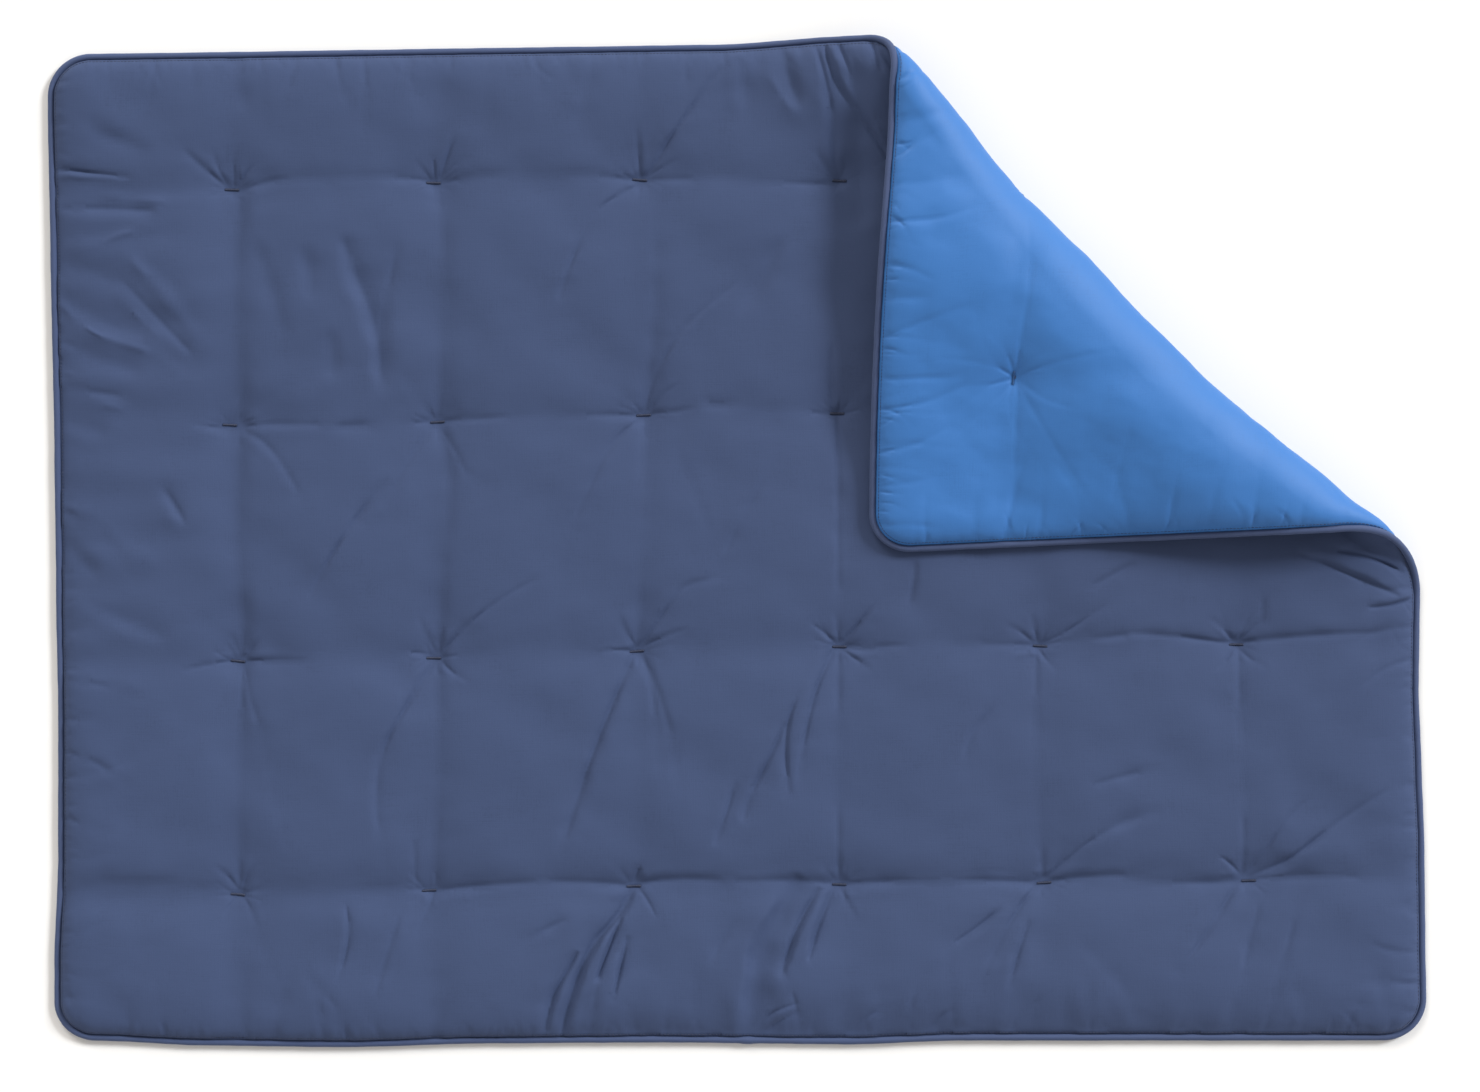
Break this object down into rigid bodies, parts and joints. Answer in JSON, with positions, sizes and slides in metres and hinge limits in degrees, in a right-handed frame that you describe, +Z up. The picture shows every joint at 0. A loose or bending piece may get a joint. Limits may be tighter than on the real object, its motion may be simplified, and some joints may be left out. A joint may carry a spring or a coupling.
{
  "type": "electric blanket",
  "caption": "Padded, tufted electric blanket with piped edges, lying flat with one corner folded over to show its blue back.",
  "frame": {"origin": "middle of the bounding box, on the surface that the blanket lies on", "axes": "+Z up out of the navy face, +X along the long sides towards the folded corner's side, +Y towards the folded corner's edge"},
  "size_m": [1.7988, 1.3168, 0.1039],
  "materials": {
    "blue_cloth": "smooth bright-blue polyester cloth, slightly satin",
    "navy_cloth": "soft matt navy brushed cloth",
    "navy_piping": "navy cloth piping, matt"
  },
  "bodies": {
    "root": {"back_panel": "blue_cloth", "quilted_face": "navy_cloth", "edge_piping": "navy_piping"}
  },
  "joints": []
}
